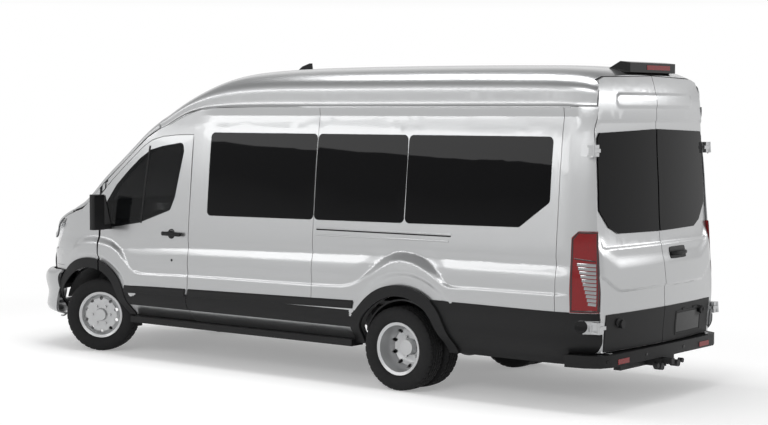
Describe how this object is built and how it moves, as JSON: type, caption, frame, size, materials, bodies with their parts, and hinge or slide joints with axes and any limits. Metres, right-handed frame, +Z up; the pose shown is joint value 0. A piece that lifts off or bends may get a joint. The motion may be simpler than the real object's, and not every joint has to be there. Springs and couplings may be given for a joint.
{
  "type": "high-roof passenger minibus with twin rear wheels",
  "caption": "High-roof passenger minibus with hinged front doors, twin rear doors, opening hood, steered front wheels and twin rear wheels.",
  "frame": {"origin": "middle of the length on the centre line, at the ground under the tyres", "axes": "+X forward, +Y to the vehicle's left, +Z up"},
  "size_m": [6.7028, 2.4658, 2.75],
  "materials": {
    "paint": "light silver metallic clearcoat",
    "clear_glass": "tinted clear",
    "dark_glass": "dark privacy tint",
    "lamp_clear": "clear lens",
    "lamp_red": "red lens",
    "black_trim": "grained black plastic",
    "gloss_black": "gloss black",
    "seal": "black seal",
    "black_steel": "satin black underbody",
    "cast": "bare cast",
    "tank": "moulded black",
    "steel": "plain steel",
    "interior": "dark grained",
    "seat_cloth": "dark woven cloth",
    "wheel_silver": "silver paint",
    "tyre": "black tread rubber"
  },
  "bodies": {
    "body": {"antenna_fin": "gloss_black", "cant_strips": "paint", "chassis_rails": "black_steel", "corner_pillars": "paint", "dashboard": "interior", "exhaust_box": "steel", "fenders": "paint", "firewall": "black_steel", "floor_pan": "black_steel", "front_bumper": "paint", "front_seats": "seat_cloth", "front_suspension": "black_steel", "fuel_tank": "tank", "grille": "black_trim", "headlamps": "lamp_clear", "hitch_receiver": "black_steel", "nose_corners": "paint", "powertrain": "cast", "quarter_panels": "paint", "rear_axle": "cast", "rear_bumper": "black_trim", "rear_seats": "seat_cloth", "roof_cap": "paint", "roof_seals": "seal", "side_cladding": "black_trim", "side_glass": "dark_glass", "side_panel_left": "paint", "sliding_door_right": "paint", "stop_lamp": "gloss_black", "tail_lamps": "lamp_red", "windscreen": "clear_glass", "windscreen_frame": "paint"},
    "front_door_left": {"front_door_left": "paint", "door_glass_left": "clear_glass", "door_trim_left": "black_trim"},
    "rear_door_left": {"rear_door_left": "paint", "rear_glass_left": "dark_glass", "rear_door_trim_left": "black_trim"},
    "knuckle_left": {"knuckle_left": "cast"},
    "front_wheel_left": {"front_wheel_left": "wheel_silver", "front_tyre_left": "tyre"},
    "rear_wheel_left": {"rear_wheels_left": "wheel_silver", "rear_tyres_left": "tyre"},
    "front_door_right": {"front_door_right": "paint", "door_glass_right": "clear_glass", "door_trim_right": "black_trim"},
    "rear_door_right": {"rear_door_right": "paint", "rear_glass_right": "dark_glass", "rear_door_trim_right": "black_trim"},
    "knuckle_right": {"knuckle_right": "cast"},
    "front_wheel_right": {"front_wheel_right": "wheel_silver", "front_tyre_right": "tyre"},
    "rear_wheel_right": {"rear_wheels_right": "wheel_silver", "rear_tyres_right": "tyre"},
    "hood": {"hood": "paint"},
    "steering_wheel": {"steering_wheel": "interior"}
  },
  "joints": [
    {"name": "front_door_left", "type": "hinge", "parent": "body", "child": "front_door_left", "pos_m": [2.122, 0.965, 0.955], "axis": [0, 0, -1], "range_deg": [0, 66]},
    {"name": "rear_door_left", "type": "hinge", "parent": "body", "child": "rear_door_left", "pos_m": [-3.30652, 0.95763, 0.66], "axis": [-0.0539, 0.0251, -0.9982], "range_deg": [0, 250]},
    {"name": "steer_left", "type": "hinge", "parent": "body", "child": "knuckle_left", "pos_m": [2.3285, 0.8, 0.3495], "axis": [0, 0, 1], "range_deg": [-63, 13]},
    {"name": "roll_front_left", "type": "hinge", "parent": "knuckle_left", "child": "front_wheel_left", "pos_m": [2.30061, 0.85982, 0.3495], "axis": [-0.4226, 0.9063, 0], "continuous": true},
    {"name": "roll_rear_left", "type": "hinge", "parent": "body", "child": "rear_wheel_left", "pos_m": [-1.4215, 0.826, 0.3495], "axis": [0, 1, 0], "continuous": true},
    {"name": "front_door_right", "type": "hinge", "parent": "body", "child": "front_door_right", "pos_m": [2.122, -0.965, 0.955], "axis": [0, 0, 1], "range_deg": [0, 66]},
    {"name": "rear_door_right", "type": "hinge", "parent": "body", "child": "rear_door_right", "pos_m": [-3.30652, -0.95763, 0.66], "axis": [0.0539, 0.0251, 0.9982], "range_deg": [0, 250]},
    {"name": "steer_right", "type": "hinge", "parent": "body", "child": "knuckle_right", "pos_m": [2.3285, -0.8, 0.3495], "axis": [0, 0, 1], "range_deg": [-63, 13]},
    {"name": "roll_front_right", "type": "hinge", "parent": "knuckle_right", "child": "front_wheel_right", "pos_m": [2.35639, -0.85982, 0.3495], "axis": [-0.4226, 0.9063, 0], "continuous": true},
    {"name": "roll_rear_right", "type": "hinge", "parent": "body", "child": "rear_wheel_right", "pos_m": [-1.4215, -0.826, 0.3495], "axis": [0, 1, 0], "continuous": true},
    {"name": "hood", "type": "hinge", "parent": "body", "child": "hood", "pos_m": [2.618, 0, 1.385], "axis": [0, -1, 0], "range_deg": [0, 50]},
    {"name": "steering_wheel", "type": "hinge", "parent": "body", "child": "steering_wheel", "pos_m": [1.88, 0.42, 1.17], "axis": [-0.8601, 0, 0.5101], "range_deg": [-1008, 208]}
  ],
  "couplings": [
    {"joint": "steer_right", "follows": "steer_left", "ratio": 1},
    {"joint": "steering_wheel", "follows": "steer_left", "ratio": 16}
  ]
}
